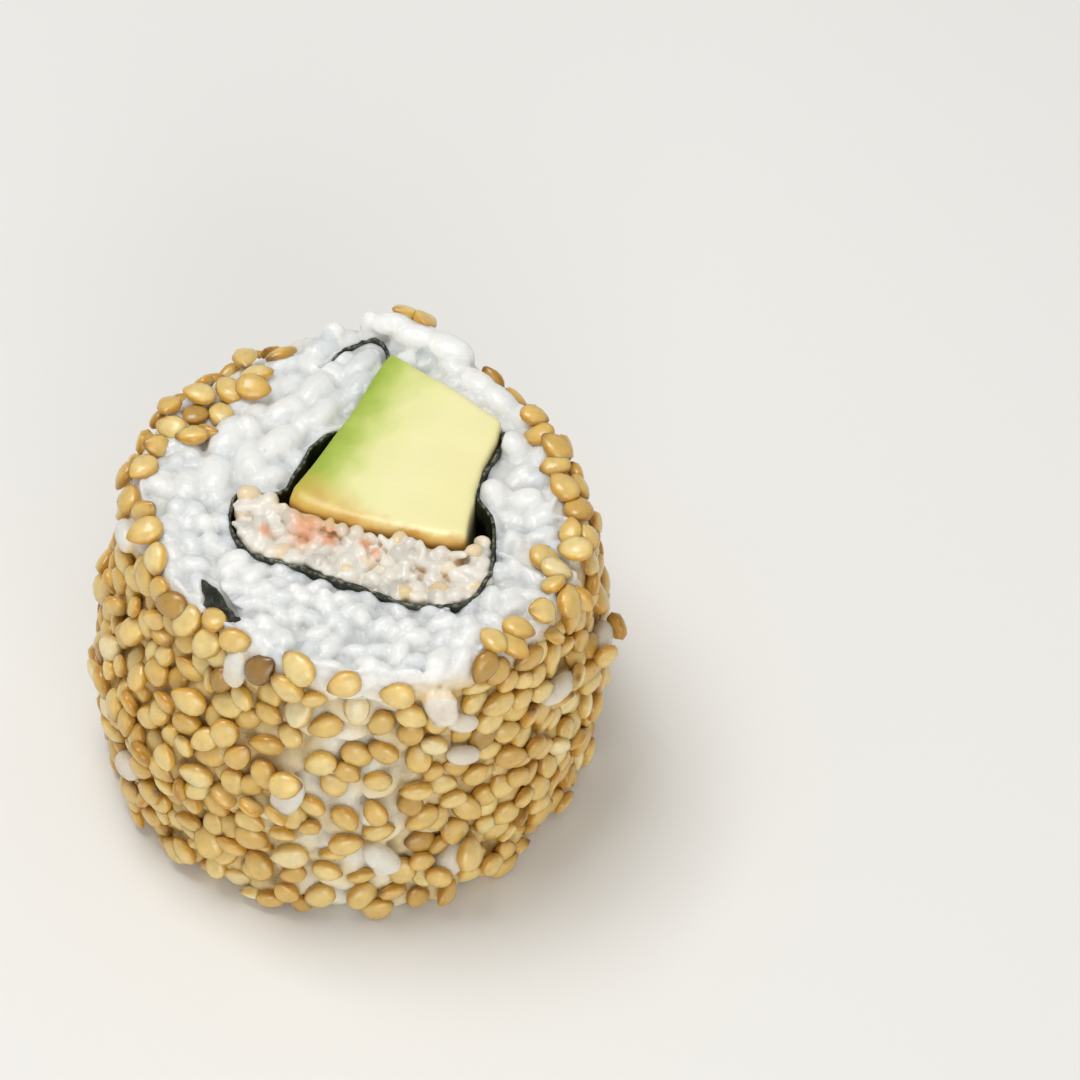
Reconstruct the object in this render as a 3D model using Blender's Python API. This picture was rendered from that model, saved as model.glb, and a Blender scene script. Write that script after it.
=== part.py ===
"""One cut piece of an uramaki roll, standing on a cut face.

A barrel of pressed rice surrounds a channel that runs from cut face to cut face.
A strip of nori lines the channel and ends in a tail that lies in the rice. Inside the
nori a bar of avocado stands behind a bed of crab mix, and a torn flap of nori shows
at the rim. The front of the piece faces -Y, and the roll's axis is Z.
"""

import math

import bmesh
import bpy
from mathutils import Matrix, Vector, noise

MM = 0.001

# Rice barrel. The radii are taken every 30 degrees, anticlockwise from +X.
RICE_HEIGHT = 31.0 * MM
BASE_RADII = [r * MM for r in (20.5, 20.7, 21.4, 21.8, 21.7, 22.0, 22.4, 22.4, 21.6, 21.3, 21.0, 20.3)]
BELLY_RADII = [r * MM for r in (22.0, 21.7, 21.8, 22.0, 22.0, 22.4, 22.7, 22.5, 21.8, 21.4, 21.6, 21.9)]
RIM_RADII = [r * MM for r in (20.4, 18.6, 20.3, 21.2, 19.2, 19.7, 19.0, 18.2, 18.0, 19.5, 21.2, 21.4)]
BELLY_LEVEL = 0.42  # share of the height where the barrel is fullest
TOP_EDGE = 2.0 * MM
BASE_EDGE = 1.0 * MM
SIDE_STEPS = 9
EDGE_STEPS = 3
FACE_RINGS = 6
TURN_STEPS = 72
LUMP_HEIGHT = 0.45 * MM
LUMP_SIZE = 4.2 * MM

# Nori strip, from its inner end, clockwise round the filling, and out into the rice.
NORI_THICKNESS = 0.5 * MM
NORI_HEIGHT = RICE_HEIGHT + 0.3 * MM
NORI_WRAP = [
    (4.9, 15.0), (8.4, 12.0), (11.8, 9.0), (12.8, 7.8), (12.4, 5.6), (11.5, 3.4), (10.9, 1.8),
    (10.6, 0.3), (11.1, -0.9), (11.9, -2.4), (12.0, -4.6), (11.9, -7.2), (11.0, -9.7), (9.6, -11.3),
    (7.3, -11.6), (4.0, -11.0), (1.4, -9.8), (-1.7, -8.5), (-4.9, -7.1), (-8.0, -5.9), (-9.4, -4.0),
    (-9.8, -1.6), (-9.4, 0.4), (-8.4, 0.7), (-7.0, 0.2), (-5.6, 0.7), (-4.7, 2.3), (-3.4, 5.4),
    (-2.2, 6.9), (-0.8, 8.2), (1.1, 11.8), (2.5, 14.8), (2.9, 16.1),
]
NORI_TAIL = [(2.4, 17.5), (1.4, 18.0), (0.5, 17.6), (-0.9, 16.6), (-2.9, 14.7)]
CRINKLE_HEIGHT = 0.1 * MM
CRINKLE_SIZE = 3.0 * MM
SPAN_STEPS = 2

# Bar of avocado: two straight cut sides, the skin side on the left, the stone's hollow on the right.
AVOCADO_HEIGHT = RICE_HEIGHT + 1.0 * MM
AVOCADO_OUTLINE = [
    (3.9, 15.3), (8.1, 11.7), (12.2, 8.0), (11.8, 6.0), (10.7, 3.1), (10.0, 0.2), (9.8, -3.2),
    (9.7, -5.4), (8.0, -5.3), (5.0, -4.6), (1.2, -3.5), (-1.0, -2.8), (-3.9, -1.6), (-5.1, -0.7),
    (-4.6, 0.6), (-3.8, 1.8), (-2.1, 4.6), (-0.2, 7.8), (1.7, 11.5), (3.0, 14.2),
]
AVOCADO_EDGE = 0.3 * MM
AVOCADO_CENTRE = (4.5 * MM, 3.0 * MM)

# Bed of crab mix, a little lower than the rice, along the front of the channel.
CRAB_HEIGHT = RICE_HEIGHT - 0.2 * MM
CRAB_OUTLINE = [
    (-9.0, -0.2), (-8.2, 0.0), (-7.0, -0.5), (-6.0, -0.4), (-5.5, -1.2), (-4.1, -2.0), (-1.2, -3.2),
    (1.0, -3.9), (4.9, -5.0), (7.9, -5.7), (10.2, -5.9), (11.2, -5.6), (11.3, -7.1), (10.5, -9.3),
    (9.3, -10.7), (7.3, -11.0), (4.2, -10.4), (1.6, -9.2), (-1.5, -7.9), (-4.7, -6.5), (-7.6, -5.4),
    (-8.8, -3.8), (-9.2, -1.6),
]
CRAB_EDGE = 0.4 * MM
CRAB_CENTRE = (2.0 * MM, -6.4 * MM)
CRAB_LUMP_HEIGHT = 0.35 * MM
CRAB_LUMP_SIZE = 2.2 * MM

# Torn flap of nori, lying on the rim at the front left.
FLAP_OUTLINE = [(-2.6, 1.0), (-1.2, 1.3), (0.6, 0.7), (2.2, 0.9), (2.5, -0.2), (1.2, -1.0), (-0.9, -0.7)]
FLAP_THICKNESS = 0.5 * MM
FLAP_PLACE = (-10.4 * MM, -10.5 * MM, 30.2 * MM)
FLAP_HEADING = math.radians(-48)  # direction of its long side, seen from above
FLAP_LEAN = math.radians(42)  # how far its face leans out from level

CLEARANCE = 0.2 * MM  # between pieces that touch

RICE_COLOUR = (0.86, 0.87, 0.86)
NORI_COLOUR = (0.02, 0.03, 0.022)
AVOCADO_COLOUR = (0.80, 0.80, 0.42)
CRAB_COLOUR = (0.80, 0.68, 0.60)


def clear_scene():
    for old in list(bpy.data.objects):
        bpy.data.objects.remove(old)


def food_material(name, colour, roughness):
    made = bpy.data.materials.new(name)
    made.use_nodes = True
    shader = made.node_tree.nodes["Principled BSDF"]
    shader.inputs["Base Color"].default_value = (*colour, 1.0)
    shader.inputs["Roughness"].default_value = roughness
    shader.inputs["Metallic"].default_value = 0.0
    return made


def curve_point(before, start, end, after, share):
    """A point on the Catmull-Rom curve from start to end."""
    square, cube = share * share, share**3
    return 0.5 * (
        2 * start
        + (end - before) * share
        + (2 * before - 5 * start + 4 * end - after) * square
        + (3 * start - before - 3 * end + after) * cube
    )


def curve_through(corners, steps, closed):
    """Points along a smooth curve through corners, which are in millimetres."""
    knots = [Vector(corner) * MM for corner in corners]
    if closed:
        knots = [knots[-1], *knots, knots[0], knots[1]]
    else:
        knots = [2 * knots[0] - knots[1], *knots, 2 * knots[-1] - knots[-2]]
    points = []
    for before, start, end, after in zip(knots, knots[1:], knots[2:], knots[3:]):
        points += [curve_point(before, start, end, after, step / steps) for step in range(steps)]
    return points if closed else [*points, knots[-2]]


def radius_at(radii, angle):
    """A smooth radius between values that are spaced evenly round the circle."""
    place = angle / math.tau * len(radii)
    first = math.floor(place)
    near = [radii[(first + offset) % len(radii)] for offset in (-1, 0, 1, 2)]
    return curve_point(*near, place - first)


def smooth_share(value, low, high):
    share = min(max((value - low) / (high - low), 0.0), 1.0)
    return share * share * (3 - 2 * share)


def lumps(point, size, height):
    return height * noise.noise(point / size)


def normals_of(points, closed):
    """Unit normals in the plane, to the left of the way the points run."""
    found = []
    for index in range(len(points)):
        last = index == len(points) - 1
        before = points[index - 1] if closed or index else points[0]
        after = points[0] if closed and last else points[index if last else index + 1]
        along = (after - before).normalized()
        found.append(Vector((-along.y, along.x)))
    return found


def crinkled(path):
    """The nori's line with its small waves."""
    waves = [lumps(Vector((p.x, p.y, 0.0)), CRINKLE_SIZE, CRINKLE_HEIGHT) for p in path]
    return [p + n * wave for p, n, wave in zip(path, normals_of(path, False), waves)]


def strip_outline(path, half_width, overrun=0.0):
    """The closed outline of a strip along path, longer by overrun at each end."""
    longer = list(path)
    longer[0] = path[0] + (path[0] - path[1]).normalized() * overrun
    longer[-1] = path[-1] + (path[-1] - path[-2]).normalized() * overrun
    sides = [(p + n * half_width, p - n * half_width) for p, n in zip(longer, normals_of(longer, False))]
    return [left for left, _ in sides] + [right for _, right in reversed(sides)]


def add_object(name, mesh_data, look=None):
    """Puts a finished bmesh in the scene, with its faces turned outwards."""
    bmesh.ops.recalc_face_normals(mesh_data, faces=mesh_data.faces)
    mesh = bpy.data.meshes.new(name)
    mesh_data.to_mesh(mesh)
    mesh_data.free()
    mesh.shade_smooth()
    mesh.set_sharp_from_angle(angle=math.radians(50))
    made = bpy.data.objects.new(name, mesh)
    bpy.context.scene.collection.objects.link(made)
    if look:
        mesh.materials.append(look)
    return made


def skin_rings(name, rings, low_point, high_point, look=None):
    """A closed body over rings of equal count, with a point at its bottom and one at its top."""
    body = bmesh.new()
    loops = [[body.verts.new(point) for point in ring] for ring in rings]
    count = len(loops[0])
    for lower, upper in zip(loops, loops[1:]):
        for index in range(count):
            after = (index + 1) % count
            body.faces.new((lower[index], lower[after], upper[after], upper[index]))
    for point, loop in ((low_point, loops[0]), (high_point, loops[-1])):
        centre = body.verts.new(point)
        for index in range(count):
            body.faces.new((loop[index], loop[(index + 1) % count], centre))
    return add_object(name, body, look)


def prism(name, outline, low, high, look=None):
    """A closed body with an upright side and a flat face at each end."""
    body = bmesh.new()
    ends = [[body.verts.new((p.x, p.y, level)) for p in outline] for level in (low, high)]
    for end in ends:
        body.faces.new(end)
    for index in range(len(outline)):
        after = (index + 1) % len(outline)
        body.faces.new((ends[0][index], ends[0][after], ends[1][after], ends[1][index]))
    return add_object(name, body, look)


def cutter_of(made):
    made.hide_render = True
    made.display_type = "WIRE"
    return made


def rice_ring(level, inset, face_share=1.0):
    """One ring of the barrel at a height, pulled in by inset, and shrunk by face_share on a cut face."""
    share = level / RICE_HEIGHT
    low, rise = smooth_share(share, BELLY_LEVEL, 0.0), smooth_share(share, BELLY_LEVEL, 1.0)
    ring = []
    for step in range(TURN_STEPS):
        angle = math.tau * step / TURN_STEPS
        side = radius_at(BELLY_RADII, angle)
        side += (radius_at(BASE_RADII, angle) - side) * low + (radius_at(RIM_RADII, angle) - side) * rise
        out = Vector((math.cos(angle), math.sin(angle), 0.0))
        point = out * (side - inset) * face_share + Vector((0.0, 0.0, level))
        if level > 0:
            swell = lumps(point, LUMP_SIZE, LUMP_HEIGHT)
            point += out * swell * face_share if level < RICE_HEIGHT else Vector((0.0, 0.0, swell))
        ring.append(point)
    return ring


def rounded_levels():
    """Heights and insets of the side's rings, through both rounded edges."""
    levels = []
    for step in range(EDGE_STEPS):
        angle = math.pi / 2 * step / EDGE_STEPS
        levels.append((BASE_EDGE * (1 - math.cos(angle)), BASE_EDGE * (1 - math.sin(angle))))
    tall = RICE_HEIGHT - TOP_EDGE - BASE_EDGE
    levels += [(BASE_EDGE + tall * step / SIDE_STEPS, 0.0) for step in range(SIDE_STEPS + 1)]
    for step in range(1, EDGE_STEPS + 1):
        angle = math.pi / 2 * step / EDGE_STEPS
        level = RICE_HEIGHT - TOP_EDGE * (1 - math.sin(angle))
        levels.append((level, TOP_EDGE * (1 - math.cos(angle))))
    return levels


def rice_barrel(look):
    rings = [rice_ring(level, inset) for level, inset in rounded_levels()]
    for ring in range(1, FACE_RINGS):
        rings.append(rice_ring(RICE_HEIGHT, TOP_EDGE, 1 - ring / FACE_RINGS))
    top = Vector((0.0, 0.0, RICE_HEIGHT))
    return skin_rings("rice", rings, Vector((0.0, 0.0, 0.0)), top, look)


def filled_bar(name, outline, centre, height, edge, relief, look):
    """A bar of filling from cut face to cut face, with rounded edges and relief(point) on its top."""
    middle = Vector((*centre, 0.0))
    full = [Vector((p.x, p.y, 0.0)) for p in outline]
    inner = [p - Vector((*n, 0.0)) * edge for p, n in zip(full, normals_of(outline, True))]

    def ring(points, level, share=1.0):
        return [middle + (p - middle) * share + Vector((0.0, 0.0, level)) for p in points]

    rings = [ring(inner, 0.0), ring(full, edge), ring(full, height / 2), ring(full, height - edge)]
    for share in (1.0, 0.75, 0.45, 0.2):
        rings.append([p + Vector((0.0, 0.0, relief(p))) for p in ring(inner, height, share)])
    top = middle + Vector((0.0, 0.0, height))
    top.z += relief(top)
    return skin_rings(name, rings, middle, top, look)


def crab_relief(point):
    return lumps(point, CRAB_LUMP_SIZE, CRAB_LUMP_HEIGHT)


def no_relief(point):
    return 0.0


def flap_body(name, growth, thickness, look=None):
    """The torn flap as a plate, or with growth the pocket that it lies in."""
    outline = [Vector(corner) * MM for corner in FLAP_OUTLINE]
    edge = [p + p.normalized() * growth for p in outline]
    plate = prism(name, edge, -FLAP_THICKNESS / 2 - growth, thickness - FLAP_THICKNESS / 2, look)
    # The plate's own Y turns to face inwards and up, so that its face looks out over the rim.
    heading = Matrix.Rotation(FLAP_HEADING, 4, "Z")
    lean = Matrix.Rotation(FLAP_LEAN, 4, "X")
    plate.matrix_world = Matrix.Translation(FLAP_PLACE) @ heading @ lean
    return plate


def cut(target, cutter):
    boolean = target.modifiers.new("cut " + cutter.name, "BOOLEAN")
    boolean.operation = "DIFFERENCE"
    boolean.solver = "EXACT"
    boolean.object = cutter_of(cutter)


def build_roll():
    rice_look = food_material("cooked rice", RICE_COLOUR, 0.45)
    nori_look = food_material("nori", NORI_COLOUR, 0.55)
    avocado_look = food_material("avocado flesh", AVOCADO_COLOUR, 0.4)
    crab_look = food_material("crab mix", CRAB_COLOUR, 0.4)

    wrap = crinkled(curve_through(NORI_WRAP + NORI_TAIL, SPAN_STEPS, closed=False))
    wrap_count = (len(NORI_WRAP) - 1) * SPAN_STEPS + 1
    nori = prism("nori", strip_outline(wrap, NORI_THICKNESS / 2), 0.0, NORI_HEIGHT, nori_look)

    reach = NORI_THICKNESS / 2 + CLEARANCE
    lining = wrap[:wrap_count]
    channel = [p + n * reach for p, n in zip(lining, normals_of(lining, True))]
    slot = strip_outline(wrap[wrap_count - 3 :], reach, overrun=CLEARANCE)
    beyond = 3 * MM

    rice = rice_barrel(rice_look)
    cut(rice, prism("channel", channel, -beyond, RICE_HEIGHT + beyond))
    cut(rice, prism("tail_slot", slot, -beyond, RICE_HEIGHT + beyond))
    cut(rice, flap_body("flap_pocket", CLEARANCE, 4 * MM))
    flap = flap_body("nori_flap", 0.0, FLAP_THICKNESS, nori_look)

    avocado = filled_bar(
        "avocado", curve_through(AVOCADO_OUTLINE, 1, closed=True), AVOCADO_CENTRE,
        AVOCADO_HEIGHT, AVOCADO_EDGE, no_relief, avocado_look,
    )
    crab = filled_bar(
        "crab_mix", curve_through(CRAB_OUTLINE, 2, closed=True), CRAB_CENTRE,
        CRAB_HEIGHT, CRAB_EDGE, crab_relief, crab_look,
    )
    return [rice, nori, flap, avocado, crab]


def centre_on_origin(pieces):
    """Hangs everything on one empty, which brings the middle of the piece's base to the origin."""
    roll = bpy.data.objects.new("roll", None)
    bpy.context.scene.collection.objects.link(roll)
    bpy.context.view_layer.update()
    corners = [piece.matrix_world @ vertex.co for piece in pieces for vertex in piece.data.vertices]
    middle = [(min(c[axis] for c in corners) + max(c[axis] for c in corners)) / 2 for axis in (0, 1)]
    for made in bpy.data.objects:
        if made is not roll:
            made.parent = roll
    roll.location = (-middle[0], -middle[1], 0.0)


clear_scene()
centre_on_origin(build_roll())
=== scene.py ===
import math
import random

import bpy
import numpy as np
from mathutils import Euler, Matrix, Vector, noise
from mathutils.bvhtree import BVHTree
from mathutils.kdtree import KDTree


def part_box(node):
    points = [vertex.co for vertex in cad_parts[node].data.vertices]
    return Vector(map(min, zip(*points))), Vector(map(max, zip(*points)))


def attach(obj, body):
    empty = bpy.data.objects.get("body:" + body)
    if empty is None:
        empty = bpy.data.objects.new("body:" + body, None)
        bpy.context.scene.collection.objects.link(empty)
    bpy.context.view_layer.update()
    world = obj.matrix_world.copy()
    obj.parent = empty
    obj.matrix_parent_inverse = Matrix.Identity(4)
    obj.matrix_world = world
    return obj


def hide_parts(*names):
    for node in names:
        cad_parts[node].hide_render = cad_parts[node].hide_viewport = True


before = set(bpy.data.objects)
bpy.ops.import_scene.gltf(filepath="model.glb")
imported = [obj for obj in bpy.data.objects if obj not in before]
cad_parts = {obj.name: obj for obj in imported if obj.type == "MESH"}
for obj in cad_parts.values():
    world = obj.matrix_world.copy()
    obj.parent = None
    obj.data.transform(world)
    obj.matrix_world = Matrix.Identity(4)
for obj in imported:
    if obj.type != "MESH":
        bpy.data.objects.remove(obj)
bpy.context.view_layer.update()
scene = bpy.context.scene
mm = 0.001
rollHeight = 31.0
noise.seed_set(3)  # without a seed, noise_vector starts from the clock

# Shapes are worked out in millimetres in the roll's drawing frame, and go to metres at the very end.
# The drawing's zero is found again from the avocado's box: its low corner is at (-5.1, -5.4).
drawingZero = Vector(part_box("avocado")[0]) - Vector((-5.1, -5.4, 0.0)) * mm
toScene = Matrix.Translation(drawingZero) @ Matrix.Scale(mm, 4)
toDrawing = toScene.inverted()


def hexColour(code):
    values = [int(code[i:i + 2], 16) / 255 for i in (0, 2, 4)]
    linear = [v / 12.92 if v <= 0.04045 else ((v + 0.055) / 1.055) ** 2.4 for v in values]
    return (*linear, 1.0)


# An input is given as a link, a hex colour or a plain value.
def fillInputs(tree, node, inputs):
    for key, value in inputs.items():
        socket = node.inputs[key]
        if isinstance(value, bpy.types.NodeSocket):
            tree.links.new(value, socket)
        elif socket.type == "RGBA" and isinstance(value, str):
            socket.default_value = hexColour(value)
        else:
            socket.default_value = value


def addNode(tree, kind, inputs=None, **settings):
    node = tree.nodes.new(kind)
    for key, value in settings.items():
        setattr(node, key, value)
    fillInputs(tree, node, inputs or {})
    return node


def setStops(ramp, stops):
    elements = ramp.color_ramp.elements
    while len(elements) < len(stops):
        elements.new(0.5)
    for element, (place, colour) in zip(elements, stops):
        element.position = place
        element.color = hexColour(colour) if isinstance(colour, str) else (colour, colour, colour, 1.0)
    return ramp.outputs["Color"]


def newFinish(name):
    finish = bpy.data.materials.new(name)
    finish.use_nodes = True
    return finish, finish.node_tree, finish.node_tree.nodes["Principled BSDF"]


def newObject(name, data):
    thing = bpy.data.objects.new(name, data)
    scene.collection.objects.link(thing)
    return thing


def meshOf(name, points, faces):
    mesh = bpy.data.meshes.new(name)
    mesh.from_pydata([tuple(p) for p in points], [], faces)
    mesh.update()
    return mesh


def coordsOf(mesh):
    flat = np.empty(len(mesh.vertices) * 3, dtype=np.float32)
    mesh.vertices.foreach_get("co", flat)
    return flat.reshape(-1, 3).astype(float)


def setCoords(mesh, coords):
    mesh.vertices.foreach_set("co", np.asarray(coords, dtype=np.float32).ravel())
    mesh.update()


def addValues(mesh, name, values):
    attribute = mesh.attributes.new(name, "FLOAT", "POINT")
    attribute.data.foreach_set("value", np.asarray(values, dtype=np.float32))


# The plain mesh that a thing's modifiers make, and the thing itself goes.
def bake(thing):
    bpy.context.view_layer.update()
    graph = bpy.context.evaluated_depsgraph_get()
    mesh = bpy.data.meshes.new_from_object(thing.evaluated_get(graph))
    bpy.data.objects.remove(thing)
    return mesh


def joinMeshes(name, meshes):
    points, faces = [], []
    for mesh in meshes:
        start = len(points)
        points += [v.co[:] for v in mesh.vertices]
        faces += [[start + i for i in p.vertices] for p in mesh.polygons]
    return meshOf(name, points, faces)


# Melts touching shapes into one skin, and softens the steps that the voxels leave.
def fuse(name, meshes, voxel, smoothing=2):
    thing = newObject(name, joinMeshes(name, meshes))
    remesh = thing.modifiers.new("melt together", "REMESH")
    remesh.mode, remesh.voxel_size = "VOXEL", voxel
    soften = thing.modifiers.new("soften", "SMOOTH")
    soften.factor, soften.iterations = 0.5, smoothing
    return bake(thing)


def cutAway(mesh, cutters, solver="MANIFOLD"):
    thing = newObject(mesh.name, mesh)
    tools = [newObject("cutter", cutter) for cutter in cutters]
    for tool in tools:
        cut = thing.modifiers.new("cut", "BOOLEAN")
        cut.operation, cut.solver, cut.object = "DIFFERENCE", solver, tool
    result = bake(thing)
    for tool in tools:
        bpy.data.objects.remove(tool)
    return result


def finishPiece(name, mesh, finish, nodes):
    mesh.transform(toScene)
    mesh.materials.clear()
    mesh.materials.append(finish)
    mesh.name = name
    mesh.shade_smooth()
    mesh.update()
    piece = newObject(name, mesh)
    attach(piece, "root")
    if nodes:
        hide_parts(*nodes)
    print(name, sum(len(p.vertices) - 2 for p in mesh.polygons), "triangles")
    return piece


# One tree lays a small shape on every point: its lie, size and tint come from the points.
def scatterTree():
    tree = bpy.data.node_groups.new("scatter shapes", "GeometryNodeTree")
    sockets = {}
    for name, kind, start in (
        ("Geometry", "NodeSocketGeometry", None), ("Shape", "NodeSocketObject", None),
        ("Length", "NodeSocketFloat", 1.0), ("Width", "NodeSocketFloat", 1.0),
        ("Thickness", "NodeSocketFloat", 1.0), ("Size spread", "NodeSocketFloat", 0.1),
        ("Random seed", "NodeSocketInt", 1), ("Finish", "NodeSocketMaterial", None),
    ):
        socket = tree.interface.new_socket(name, in_out="INPUT", socket_type=kind)
        if start is not None:
            socket.default_value = start
        sockets[name] = socket.identifier
    tree.interface.new_socket("Geometry", in_out="OUTPUT", socket_type="NodeSocketGeometry")
    given = tree.nodes.new("NodeGroupInput").outputs
    lie = addNode(tree, "GeometryNodeInputNamedAttribute", {"Name": "lie"}, data_type="FLOAT_VECTOR")
    size = addNode(tree, "GeometryNodeInputNamedAttribute", {"Name": "size"}, data_type="FLOAT")
    turn = addNode(tree, "FunctionNodeEulerToRotation", {0: lie.outputs["Attribute"]})
    low = addNode(tree, "ShaderNodeMath", {0: 1.0, 1: given["Size spread"]}, operation="SUBTRACT")
    high = addNode(tree, "ShaderNodeMath", {0: 1.0, 1: given["Size spread"]}, operation="ADD")
    spread = addNode(tree, "FunctionNodeRandomValue", {
        2: low.outputs[0], 3: high.outputs[0], "Seed": given["Random seed"]}, data_type="FLOAT")
    scale = addNode(tree, "ShaderNodeMath", {
        0: spread.outputs[1], 1: size.outputs["Attribute"]}, operation="MULTIPLY")
    sides = addNode(tree, "ShaderNodeCombineXYZ", {
        0: given["Length"], 1: given["Width"], 2: given["Thickness"]})
    scaled = addNode(tree, "ShaderNodeVectorMath", {
        0: sides.outputs[0], "Scale": scale.outputs[0]}, operation="SCALE")
    shape = addNode(tree, "GeometryNodeObjectInfo", {"Object": given["Shape"]})
    laid = addNode(tree, "GeometryNodeInstanceOnPoints", {
        "Points": given["Geometry"], "Instance": shape.outputs["Geometry"],
        "Rotation": turn.outputs[0], "Scale": scaled.outputs[0]})
    real = addNode(tree, "GeometryNodeRealizeInstances", {"Geometry": laid.outputs["Instances"]})
    dressed = addNode(tree, "GeometryNodeSetMaterial", {
        "Geometry": real.outputs["Geometry"], "Material": given["Finish"]})
    end = tree.nodes.new("NodeGroupOutput")
    tree.links.new(dressed.outputs["Geometry"], end.inputs[0])
    return tree, sockets


scatter, scatterSockets = scatterTree()


# Places are (point, turn, size, values) for each copy; values are carried on to its vertices.
def scatterShape(name, places, shape, length, width, thickness, spread, seed, finish=None, names=()):
    points = meshOf(name, [p[0] for p in places], [])
    lie = points.attributes.new("lie", "FLOAT_VECTOR", "POINT")
    lie.data.foreach_set("vector", np.array([p[1][:] for p in places], dtype=np.float32).ravel())
    addValues(points, "size", [p[2] for p in places])
    for index, valueName in enumerate(names):
        addValues(points, valueName, [p[3][index] for p in places])
    thing, model = newObject(name, points), newObject("shape", shape)
    laid = thing.modifiers.new("scatter", "NODES")
    laid.node_group = scatter
    for key, value in (("Shape", model), ("Length", length), ("Width", width), ("Thickness", thickness),
                       ("Size spread", spread), ("Random seed", seed), ("Finish", finish)):
        laid[scatterSockets[key]] = value
    result = bake(thing)
    bpy.data.objects.remove(model)
    return result


# A closed egg-like body on a unit box: rings round X, with a profile(share) for its half width.
def turnedShape(name, profile, rings, sides, bend=0.0, flat=1.0):
    points = [(-0.5, 0.0, -bend * 0.25)]
    for ring in range(1, rings):
        along = -math.cos(math.pi * ring / rings)
        for side in range(sides):
            angle = math.tau * side / sides
            height = math.copysign(abs(math.sin(angle)) ** flat, math.sin(angle))
            points.append((along / 2, profile(along) * math.cos(angle) / 2,
                           profile(along) * height / 2 - bend * along * along * 0.25))
    points.append((0.5, 0.0, -bend * 0.25))
    faces = [(0, 1 + (side + 1) % sides, 1 + side) for side in range(sides)]
    for ring in range(rings - 2):
        low = 1 + ring * sides
        for side in range(sides):
            after = (side + 1) % sides
            faces.append((low + side, low + after, low + sides + after, low + sides + side))
    last = len(points) - 1
    low = last - sides
    faces += [(low + side, low + (side + 1) % sides, last) for side in range(sides)]
    return meshOf(name, points, faces)


# The barrel, read from the rice's frame node: radius of its side for an angle and a height.
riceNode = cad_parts["rice"]
riceTree = BVHTree.FromPolygons([toDrawing @ v.co for v in riceNode.data.vertices],
                                [p.vertices[:] for p in riceNode.data.polygons])
turnSteps, levelSteps = 144, 32  # one level to a millimetre
topLevel = 30.9  # just under the cut face, the last height at which a ray still meets the side
sideRadii = np.zeros((turnSteps, levelSteps))
for turn in range(turnSteps):
    angle = math.tau * turn / turnSteps
    out = Vector((math.cos(angle), math.sin(angle), 0.0))
    for level in range(levelSteps):
        height = min(max(level * 1.0, 0.05), topLevel)
        hit = riceTree.ray_cast(out * 60 + Vector((0, 0, height)), -out)[0]
        sideRadii[turn, level] = hit.xy.length if hit else sideRadii[turn, level - 1]


def sideRadius(angle, height):
    t = (np.asarray(angle) / math.tau * turnSteps) % turnSteps
    h = np.clip(np.asarray(height, dtype=float), 0, levelSteps - 1.001)
    t0, h0 = np.floor(t).astype(int) % turnSteps, np.floor(h).astype(int)
    t1, ft, fh = (t0 + 1) % turnSteps, t - np.floor(t), h - h0
    low = sideRadii[t0, h0] * (1 - ft) + sideRadii[t1, h0] * ft
    high = sideRadii[t0, h0 + 1] * (1 - ft) + sideRadii[t1, h0 + 1] * ft
    return low * (1 - fh) + high * fh


# A point on the barrel's side, moved in by inset, and the way the side faces there.
def sidePlace(angle, height, inset):
    radius = float(sideRadius(angle, height))
    upper, lower = min(height + 0.7, topLevel), max(height - 0.7, 0.6)
    ahead = float(sideRadius(angle + 0.05, height)) - float(sideRadius(angle - 0.05, height))
    above = float(sideRadius(angle, upper)) - float(sideRadius(angle, lower))
    out = Vector((math.cos(angle), math.sin(angle), 0.0))
    across = Vector((-out.y, out.x, 0.0))
    slope = Vector((0, 0, 1)) * (above / (upper - lower))
    normal = (out - across * (ahead / (0.1 * radius)) - slope).normalized()
    return out * radius + Vector((0, 0, height)) - normal * inset, normal


# A turn that lays a shape on a surface: its Z near the normal, and its X any way round.
def randomTurn(source, normal, tilt):
    across = normal.orthogonal().normalized()
    spin = source.uniform(0, math.tau)
    along = across * math.cos(spin) + normal.cross(across) * math.sin(spin)
    up = (normal + Vector([source.gauss(0, tilt) for _ in range(3)])).normalized()
    side = up.cross(along).normalized()
    return Matrix((side.cross(up), side, up)).transposed().to_euler(), side.cross(up)


# Keeps the darts that land at least spacing away from all the ones before.
# A dart is (point, normal), and a third value scales the spacing.
def throwDarts(source, count, spacing, aim):
    kept, centres = [], np.zeros((0, 3))
    for _ in range(count):
        dart = aim(source)
        if dart is None:
            continue
        need = spacing * (dart[2] if len(dart) > 2 else 1.0)
        if len(centres) and np.min(((centres - np.array(dart[0])) ** 2).sum(1)) < need ** 2:
            continue
        kept.append(dart)
        centres = np.vstack((centres, np.array(dart[0])))
    return kept


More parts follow.
